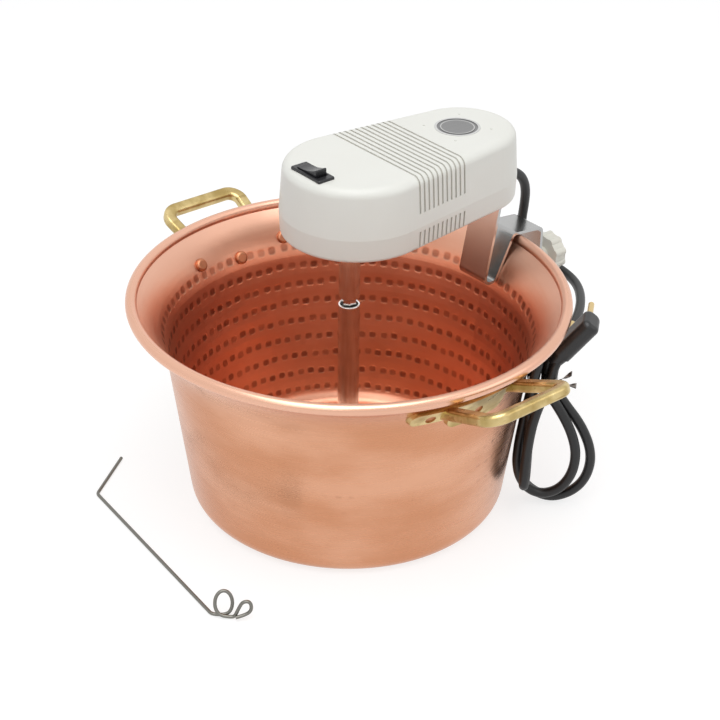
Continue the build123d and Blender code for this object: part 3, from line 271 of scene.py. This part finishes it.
# Rivets: soft copper, three to a handle. Each goes through the strap and the pot's wall, and is
# hammered to a dome on the inside.
rivet_copper = Finish("rivet_copper", (0.52, 0.22, 0.12), 1.0, 0.4)
grain = rivet_copper.noise(900.0, 3.0)
rivet_copper.relief(grain, 0.05 * MM, 0.5)
rivet_copper.put("Roughness", grain * 0.2 + 0.34)
dress(rivet_copper, "rivets_near", "rivets_far")


# Motor housing: two shells moulded in cream plastic with an eggshell surface, and cooling grooves
# over their middle. Painted shade darkens the grooves and the joint between the shells.
HOUSING_CREAM = (0.85, 0.85, 0.795)
WARM_CREAM = (0.81, 0.805, 0.74)
GROOVE_SHADE_CREAM = (0.62, 0.605, 0.555)
GROOVE_REACH = 4.0 * MM


def moulded(name, colour, roughness, grain_scale=1500.0, grain_depth=0.02 * MM):
    """Moulded plastic or rubber: a fine grain, and a slight unevenness of tone."""
    plastic = Finish(name, colour, 0.0, roughness)
    plastic.relief(plastic.noise(grain_scale), grain_depth, 0.6)
    uneven = plastic.noise(18.0, 3.0)
    darker = tuple(part * 0.96 for part in colour)
    plastic.put("Base Color", plastic.blend(plastic.step(uneven, 0.35, 0.65), colour, darker))
    plastic.put("Roughness", uneven * 0.1 + (roughness - 0.05))
    return plastic


cream = moulded("housing_cream", HOUSING_CREAM, 0.36)
# Painted shade: the colour darkens where the surface is enclosed, in the grooves and the joint.
open_share = cream.node("AmbientOcclusion", {"samples": 8}, {"Distance": GROOVE_REACH}, "AO")
uneven = cream.step(cream.noise(18.0, 3.0), 0.35, 0.65, 0.0, 0.3)
surface = cream.blend(uneven, HOUSING_CREAM, WARM_CREAM)
cream.put("Base Color", cream.blend(cream.step(open_share, 0.25, 0.9), GROOVE_SHADE_CREAM, surface))
dress(cream, "upper_shell", "lower_shell")


# Housing screws, gear plates, posts and axles: turned or stamped steel, zinc plated. The screws
# go up through the lower shell into the upper one. The plates and posts make the gear case.
def metal(name, colour, roughness, grain_stretch, grain_scale=700.0, uneven_share=0.14):
    """Bare or plated metal with a fine grain, drawn out along the axes with less stretch."""
    bare = Finish(name, colour, 1.0, roughness)
    drawn = bare.noise(grain_scale, 3.0, grain_stretch)
    bare.relief(drawn, 0.03 * MM, 0.4)
    bare.put("Roughness", drawn * uneven_share + (roughness - uneven_share / 2))
    return bare


ROUND_GRAIN = (1, 1, 1)
UPRIGHT_GRAIN = (1, 1, 0.05)
LEVEL_GRAIN = (0.2, 0.2, 4)

zinc = metal("zinc_plated", (0.60, 0.60, 0.59), 0.32, ROUND_GRAIN)
dress(zinc, "housing_screws", "gear_plate_lower", "gear_plate_upper", "plate_posts", "gear_axles")


# Badge: a stamped disc of grey metal, turned in fine rings, with a bright border. It is glued
# into a round seat in the top shell.
BADGE_BORDER = 12.9 * MM
BADGE_RING = 10.6 * MM
TURNING_PITCH = 0.7 * MM
BADGE_GREY, BORDER_GREY = (0.27, 0.27, 0.27), (0.66, 0.66, 0.65)

badge = metal("badge_metal", (0.20, 0.20, 0.205), 0.42, (0.05, 1, 1))
low, high = (Vector(corner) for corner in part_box("badge_disc"))
badge_middle = (low + high) / 2
x, y, z = badge.parts(badge.point())
from_middle = ((x - badge_middle.x) ** 2 + (y - badge_middle.y) ** 2) ** 0.5
turned = (from_middle / TURNING_PITCH) % 1
bright = badge.step(from_middle, BADGE_BORDER, BADGE_BORDER + 0.3 * MM)
ring = badge.step(abs(from_middle - BADGE_RING), 0.45 * MM, 0.2 * MM)
badge.put("Base Color", badge.blend(bright.at_least(ring * 0.8), BADGE_GREY, BORDER_GREY))
badge.relief(turned, 0.03 * MM, 0.5)
dress(badge, "badge_disc")


# Switch: a black plastic rocker, moulded with a satin gloss. It tips in a frame that snaps into
# the top shell from above.
dress(moulded("switch_black", (0.014, 0.014, 0.016), 0.28, 1200.0), "switch_frame", "switch_rocker")


# Gears: three acetal wheels, two of them moulded in one with their pinions. The bushes that the
# drive shaft and the motor run in are turned from bronze and pressed into the plates.
dress(moulded("gear_acetal", (0.80, 0.78, 0.70), 0.4), "output_gear", "second_gear", "first_gear")
dress(metal("turned_bronze", (0.70, 0.50, 0.24), 0.28, ROUND_GRAIN), "shaft_bushes", "motor_bush")


# Motor: a stack of dark laminations with one coil of enamelled copper wire, and a rotor pressed
# onto a steel shaft with its pinion cut into it.
dress(metal("laminations", (0.17, 0.175, 0.19), 0.5, (0.05, 0.05, 4)), "motor_stack", "rotor_core")
dress(metal("enamelled_wire", (0.40, 0.14, 0.05), 0.35, LEVEL_GRAIN), "motor_coil")
dress(zinc, "motor_bridge", "motor_shaft")


# Drive shaft and stirrer: polished stainless bar and tube. A grey moulded socket in the tube's
# top takes the shaft's spigot, and a spring clip holds the shaft up.
stainless = metal("polished_stainless", (0.86, 0.87, 0.85), 0.16, UPRIGHT_GRAIN)
dress(stainless, "drive_shaft", "stirrer_tube", "stirrer_foot", "stirrer_blade")
dress(zinc, "shaft_clip")
dress(moulded("socket_grey", (0.16, 0.165, 0.17), 0.5), "drive_socket")


# Rim bracket: one brushed strip of stainless, folded down into the pot, up again and over the
# rim. Two screws hold it to the gear case.
strip = metal("brushed_strip", (0.45, 0.45, 0.445), 0.24, (0.6, 1, 0.06), 900.0, 0.08)
dress(strip, "bracket_strip")
dress(zinc, "bracket_screws")


# Rim clamp: a plated screw with a domed pad, which presses on the pot from outside. It is turned
# by a scalloped knob in the housing's plastic.
knob_cream = moulded("knob_cream", (0.80, 0.785, 0.70), 0.4)
dress(knob_cream, "clamp_knob")
dress(zinc, "clamp_nut", "clamp_screw", "clamp_pad")


# Mains cord: 6.5 mm black flex. It leaves the rear wall in a tapered relief, goes round behind
# the clamp and hangs down the pot's outside in two tied turns and a doubled end. They reach down
# to the surface that the pot stands on.
MAIN_BODY = "pot_and_motor_unit"
CORD_DIAMETER = 6.5 * MM
# The route's points are in millimetres
EXIT_POINT = Vector((124.0, 8.0, 195.4))
EXIT_SLOPE = radians(28.0)
RELIEF_REACH = 13.0
FREE_ROUTE = [
    (149.0, 8.0, 182.1),
    (156.6, 8.6, 174.8),
    (161.2, 10.0, 164.6),
    (163.6, 13.0, 151.0),
    (166.4, 17.4, 136.4),
    (172.4, 20.6, 121.4),
    (182.2, 18.0, 108.4),
    (190.6, 8.0, 99.6),
    (192.0, -8.0, 96.6),
    (184.0, -25.0, 97.4),
    (168.0, -43.0, 99.6),
    (149.0, -58.5, 101.4),
    (128.0, -71.0, 102.6),
    (108.0, -81.4, 102.8),
]
# The hank's own frame: radius from the pot's axis, height, and how far behind the hank's middle
# plane
HANK_ANGLE = radians(-50.0)
OUTER_TURN = [
    (132.2, 105.4, 21.5),
    (132.4, 106.2, 13.0),
    (129.8, 100.0, 7.6),
    (130.4, 89.5, 6.6),
    (139.5, 76.5, 6.2),
    (152.5, 60.0, 6.0),
    (160.4, 40.0, 6.0),
    (158.2, 21.0, 6.0),
    (149.0, 8.2, 6.0),
    (134.5, 1.6, 6.0),
    (119.6, 8.4, 6.0),
    (112.0, 22.0, 6.0),
    (112.4, 41.0, 6.0),
    (114.8, 61.0, 6.2),
    (117.4, 80.0, 6.6),
    (119.6, 93.0, 7.2),
    (119.6, 103.0, 9.8),
    (121.6, 111.0, 11.8),
    (126.2, 115.0, 8.2),
    (128.6, 110.6, 2.6),
    (126.8, 101.5, 0.2),
]
INNER_TURN = [
    (127.6, 89.0, 0.0),
    (139.5, 72.0, -0.6),
    (147.0, 57.0, -0.6),
    (150.6, 42.0, -0.6),
    (148.6, 26.0, -0.6),
    (141.4, 13.8, -0.6),
    (130.0, 8.2, -0.6),
    (119.2, 12.6, -0.6),
    (113.0, 25.0, -0.6),
    (112.8, 43.0, -0.6),
    (115.0, 62.0, -0.6),
    (117.4, 81.0, -0.4),
    (119.8, 94.0, 0.2),
    (120.0, 103.5, 1.4),
    (121.6, 111.5, 0.0),
    (122.4, 114.0, -5.6),
    (121.6, 110.0, -11.2),
    (120.4, 101.5, -10.0),
]
DOUBLED_END = [
    (120.0, 91.0, -7.2),
    (119.4, 76.0, -8.2),
    (119.4, 58.0, -8.0),
    (119.4, 43.0, -7.2),
    (119.4, 32.0, -6.8),
    (119.4, 25.6, -8.0),
    (119.4, 23.2, -13.4),
    (119.4, 25.6, -18.8),
    (119.4, 32.0, -20.0),
    (119.6, 43.0, -18.8),
    (120.2, 58.0, -17.2),
    (122.4, 76.0, -15.6),
    (127.4, 92.0, -10.2),
    (130.6, 102.0, -7.4),
    (131.8, 108.0, -2.4),
    (134.5, 113.8, 0.0),
]
hank_out = Vector((cos(HANK_ANGLE), sin(HANK_ANGLE), 0))
hank_back = Vector((-sin(HANK_ANGLE), cos(HANK_ANGLE), 0))


def hank_point(radius, height, behind):
    """A place in the hank's own frame, in metres."""
    return (hank_out * radius + hank_back * behind + Vector((0, 0, height))) * MM


def round_curve(name, points, radius, sides, finish):
    """A round bar, wire or cord along a smooth line."""
    data = bpy.data.curves.new(name, "CURVE")
    data.dimensions = "3D"
    data.bevel_depth = radius
    data.bevel_resolution = sides
    data.resolution_u = 10
    data.use_fill_caps = True
    line = data.splines.new("NURBS")
    line.points.add(len(points) - 1)
    for place, point in zip(line.points, points):
        place.co = (*point, 1)
    line.order_u = 3
    line.use_endpoint_u = True
    data.materials.append(finish.material)
    piece = bpy.data.objects.new(name, data)
    bpy.context.collection.objects.link(piece)
    return piece


flex = moulded("cord_flex", (0.009, 0.009, 0.0095), 0.42, 900.0, 0.03 * MM)
route = [(EXIT_POINT + Vector((cos(EXIT_SLOPE), 0, -sin(EXIT_SLOPE))) * RELIEF_REACH) * MM]
route += [Vector(point) * MM for point in FREE_ROUTE]
route += [hank_point(*place) for place in OUTER_TURN + INNER_TURN + DOUBLED_END]
cord = round_curve("mains_cord", route, CORD_DIAMETER / 2, 6, flex)
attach(cord, MAIN_BODY)
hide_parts("power_cord", "cord_hank")
dress(flex, "strain_relief")


# Tie: a strip of clear film, darkened by what it holds, with painted highlights along its creases.
# It is wound round the hank's strands just under the rim, and its two ends stand out.
TIE_STEPS = 60
TIE_LEVELS = 9
TIE_SQUARENESS = 2 / 3.2
# In the hank's own frame, in millimetres. A pair is outwards and behind.
TIE_MIDDLE = (124.9, -0.4)
TIE_HALF = (8.9, 11.9)
TIE_FOOT = 93.5
TIE_WIDTH = 8.5
TIE_SLANT, TIE_WAVE = 1.2, 0.5
CREASE_DEPTH = 0.28
CREASES_ROUND, CREASES_ACROSS, CREASE_DRIFT = 5, 3, 9
EDGE_CURL = 0.5
# Each end's lean from level, and the height that it starts at
TIE_ENDS = [(0.15, 99.0), (0.75, 100.5)]
END_RADIUS, END_BEHIND, END_DRIFT = 134.0, -9.0, 2.5
END_LENGTH = 13.0
END_WIDTH = 3.6
END_ROOT_SHARE = 0.35
END_TWIST = 3.4
END_STEPS = 10
FILM_DARK, FILM_HIGHLIGHT = (0.05, 0.047, 0.045), (0.30, 0.28, 0.26)


def add_mesh(name, points, faces, finish):
    """A smooth mesh from its points and faces."""
    mesh = bpy.data.meshes.new(name)
    mesh.from_pydata([tuple(point) for point in points], [], faces)
    mesh.polygons.foreach_set("use_smooth", [True] * len(mesh.polygons))
    mesh.materials.append(finish.material)
    piece = bpy.data.objects.new(name, mesh)
    bpy.context.collection.objects.link(piece)
    return piece


def rounded(value):
    """A circle's sine or cosine, pushed out towards a rounded square."""
    return abs(value) ** TIE_SQUARENESS * (1 if value > 0 else -1)


points, faces = [], []
for level in range(TIE_LEVELS):
    share = level / (TIE_LEVELS - 1)
    for i in range(TIE_STEPS):
        turn = 2 * pi * i / TIE_STEPS
        crease = CREASE_DEPTH * sin(CREASES_ROUND * turn + CREASE_DRIFT * share)
        crease *= sin(2 * pi * CREASES_ACROSS * share)
        crease += EDGE_CURL * abs(2 * share - 1) ** 4
        radius = TIE_MIDDLE[0] + (TIE_HALF[0] + crease) * rounded(cos(turn))
        behind = TIE_MIDDLE[1] + (TIE_HALF[1] + crease) * rounded(sin(turn))
        slant = TIE_SLANT * cos(turn) + TIE_WAVE * sin(3 * turn)
        points.append(hank_point(radius, TIE_FOOT + TIE_WIDTH * share + slant, behind))
for level in range(TIE_LEVELS - 1):
    for i in range(TIE_STEPS):
        j = (i + 1) % TIE_STEPS
        low_row, high_row = level * TIE_STEPS, (level + 1) * TIE_STEPS
        faces.append((low_row + i, low_row + j, high_row + j, high_row + i))
for lean, start_height in TIE_ENDS:
    first = len(points)
    for k in range(END_STEPS + 1):
        share = k / END_STEPS
        half = END_WIDTH / 2 * (END_ROOT_SHARE + (1 - END_ROOT_SHARE) * share)
        twist = END_TWIST * share + lean
        radius = END_RADIUS + END_LENGTH * share * cos(lean)
        height = start_height + END_LENGTH * share * sin(lean)
        behind = END_BEHIND - END_DRIFT * share
        for side in (-half, half):
            edge_height, edge_behind = height + side * cos(twist), behind + side * sin(twist)
            points.append(hank_point(radius, edge_height, edge_behind))
    for k in range(END_STEPS):
        a = first + 2 * k
        faces.append((a, a + 1, a + 3, a + 2))

film = Finish("tie_film", (0.10, 0.095, 0.09), 0.0, 0.22)
creases = film.noise(240.0, 3.0, (1, 1, 3))
film.relief(creases, 0.5 * MM, 0.6)
# The raised creases are painted lighter: painted highlights on the film.
film.put("Base Color", film.blend(film.step(creases, 0.42, 0.62), FILM_DARK, FILM_HIGHLIGHT))
tie = add_mesh("film_tie", points, faces, film)
thickness = tie.modifiers.new("thickness", "SOLIDIFY")
thickness.thickness = 0.3 * MM
thickness.offset = 1.0
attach(tie, MAIN_BODY)
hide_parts("cord_tie")


# Plug: moulded in black onto the cord's end, where it leaves the hank upwards. Two round brass
# pins stand out of its far side.
plug_black = moulded("plug_black", (0.016, 0.016, 0.017), 0.34, 1000.0, 0.03 * MM)
dress(plug_black, "plug_body")
dress(metal("pin_brass", (0.72, 0.54, 0.26), 0.24, ROUND_GRAIN), "plug_pins")


# Wire hook: 2.2 mm stainless wire with a short bent foot, a round loop and a small eye. It lies
# loose on the surface. Its sizes here are in millimetres.
WIRE_RADIUS = 1.1
HOOK_FOOT = Vector((-106.0, 114.0, WIRE_RADIUS))
HOOK_KNEE = Vector((-141.0, 88.0, WIRE_RADIUS))
STEM_END = Vector((-152.2, -60.6, WIRE_RADIUS))
BEND_REACH = 5.0
LOOP_START = 7.0
LOOP_HALF_WIDTH = 5.2
LOOP_HALF_HEIGHT = 7.4
LOOP_SHIFT = 2.6
LOOP_CORNERS = 8
LOOP_HEADING = radians(-39.5)
LOOP_LEAN = radians(25.0)
# The eye: how far on from the loop, how high, and how far to the near side
EYE = [
    (4.5, 0.2, 2.4),
    (7.0, 0.8, 2.4),
    (9.2, 6.6, 2.4),
    (11.8, 12.0, 2.4),
    (16.4, 12.2, 2.4),
    (17.2, 6.0, 2.5),
    (13.6, 2.2, 2.7),
    (7.6, 1.6, 4.6),
]
ahead = Vector((cos(LOOP_HEADING), sin(LOOP_HEADING), 0))
far_side = Vector((-sin(LOOP_HEADING), cos(LOOP_HEADING), 0))
loop_up = far_side * sin(LOOP_LEAN) + Vector((0, 0, cos(LOOP_LEAN)))
near_side = far_side * -cos(LOOP_LEAN) + Vector((0, 0, sin(LOOP_LEAN)))
loop_foot = STEM_END + ahead * LOOP_START
loop_middle = loop_foot + loop_up * LOOP_HALF_HEIGHT
corner_reach = 1 / cos(pi / LOOP_CORNERS)
knee_turn = (HOOK_KNEE - HOOK_FOOT).normalized() * BEND_REACH
stem_turn = (STEM_END - HOOK_KNEE).normalized() * BEND_REACH
hook_line = [HOOK_FOOT, HOOK_KNEE - knee_turn, HOOK_KNEE, HOOK_KNEE + stem_turn]
hook_line += [STEM_END - stem_turn, STEM_END]
for i in range(LOOP_CORNERS):
    turn = 2 * pi * (i + 0.5) / LOOP_CORNERS
    corner = loop_middle + ahead * (LOOP_HALF_WIDTH * corner_reach * sin(turn))
    corner -= loop_up * (LOOP_HALF_HEIGHT * corner_reach * cos(turn))
    hook_line.append(corner + near_side * (LOOP_SHIFT * i / LOOP_CORNERS))
for on, height, near in EYE:
    hook_line.append(loop_foot + ahead * on + Vector((0, 0, height)) - far_side * near)
wire = metal("hook_wire", (0.21, 0.205, 0.185), 0.4, ROUND_GRAIN, 900.0, 0.2)
hook = round_curve("wire_hook_line", [point * MM for point in hook_line], WIRE_RADIUS * MM, 5, wire)
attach(hook, "hook")
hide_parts("wire_hook")


# Studio: a white floor and surround. A camera sees them nearly white, and so does polished metal,
# but the floor keeps the object's soft shadow. Three large lights and a dimmer surround light the
# object itself.
FLOOR_REACH = 6.0
FLOOR_DROP = 0.2 * MM
SEEN_WHITE = 0.6
FLOOR_GLOW = 1.27
DAYLIGHT = (0.97, 0.98, 1.0)
SURROUND_LIGHT = 0.38
LIT_POINT = Vector((0, 0, 0.1))
# Each light's name, size, place and power in watts
LIGHTS = [
    ("overhead", (1.6, 1.6), (-0.3, -0.3, 2.0), 22),
    ("key", (1.3, 1.3), (-1.5, -0.9, 1.7), 6),
    ("fill", (1.6, 1.2), (1.3, -1.7, 1.4), 5),
]

paper = Finish("floor_paper", (0.86, 0.86, 0.86), 0.0, 0.8)
paper.put("Specular IOR Level", 0.1)
seen = paper.node("LightPath", {}, {}, "Is Camera Ray")
seen = seen.at_least(seen.output("Is Glossy Ray")).at_least(seen.output("Is Transmission Ray"))
glow = paper.node("Emission", {}, {"Color": (1, 1, 1), "Strength": FLOOR_GLOW})
lit = Value(paper, paper.shader.outputs[0])
paper_surface = paper.node("MixShader", {}, {0: seen * SEEN_WHITE, 1: lit, 2: glow})
paper.tree.links.new(paper_surface.socket, paper.tree.nodes["Material Output"].inputs["Surface"])
floor_points = [(-FLOOR_REACH, -FLOOR_REACH, 0), (FLOOR_REACH, -FLOOR_REACH, 0),
                (FLOOR_REACH, FLOOR_REACH, 0), (-FLOOR_REACH, FLOOR_REACH, 0)]
studio_floor = add_mesh("floor", floor_points, [(0, 1, 2, 3)], paper)
studio_floor.location.z = -FLOOR_DROP

world = bpy.data.worlds.new("surround")
bpy.context.scene.world = world
world.use_nodes = True
surround = Shading(world.node_tree)
seen = surround.node("LightPath", {}, {}, "Is Camera Ray")
seen = seen.at_least(seen.output("Is Glossy Ray"))
dim = surround.node("Background", {}, {"Color": DAYLIGHT, "Strength": SURROUND_LIGHT})
white = surround.node("Background", {}, {"Color": (1, 1, 1), "Strength": 1.0})
both = surround.node("MixShader", {}, {0: seen, 1: dim, 2: white})
surround.tree.links.new(both.socket, surround.tree.nodes["World Output"].inputs["Surface"])

for name, size, place, watts in LIGHTS:
    data = bpy.data.lights.new(name, "AREA")
    data.shape = "RECTANGLE"
    data.size, data.size_y = size
    data.energy = watts
    light = bpy.data.objects.new(name, data)
    light.location = place
    light.rotation_euler = (LIT_POINT - Vector(place)).to_track_quat("-Z", "Y").to_euler()
    bpy.context.collection.objects.link(light)

bpy.context.scene.view_settings.view_transform = "Standard"


# Camera: fitted to the photograph, with an 85 mm lens on a 36 mm frame. It looks from the switch's
# side, 31 degrees up.
LENS_LENGTH, FRAME_WIDTH = 85, 36
CAMERA_AZIMUTH = radians(39.5)
CAMERA_RISE = radians(31.0)
CAMERA_DISTANCE = 1.094
CAMERA_TARGET = Vector((5.71, -4.71, 94.3)) * MM
CAMERA_ROLL = radians(0.9)
level_out = Vector((-sin(CAMERA_AZIMUTH), -cos(CAMERA_AZIMUTH), 0))
out = level_out * cos(CAMERA_RISE) + Vector((0, 0, sin(CAMERA_RISE)))
flat_right = Vector((0, 0, 1)).cross(out).normalized()
flat_up = out.cross(flat_right)
right = flat_right * cos(CAMERA_ROLL) + flat_up * sin(CAMERA_ROLL)
up_axis = flat_up * cos(CAMERA_ROLL) - flat_right * sin(CAMERA_ROLL)
lens = bpy.data.cameras.new("camera")
lens.lens = LENS_LENGTH
lens.sensor_width = FRAME_WIDTH
camera = bpy.data.objects.new("camera", lens)
turned_to = Matrix((right, up_axis, out)).transposed().to_4x4()
camera.matrix_world = Matrix.Translation(CAMERA_TARGET + out * CAMERA_DISTANCE) @ turned_to
bpy.context.collection.objects.link(camera)
bpy.context.scene.camera = camera
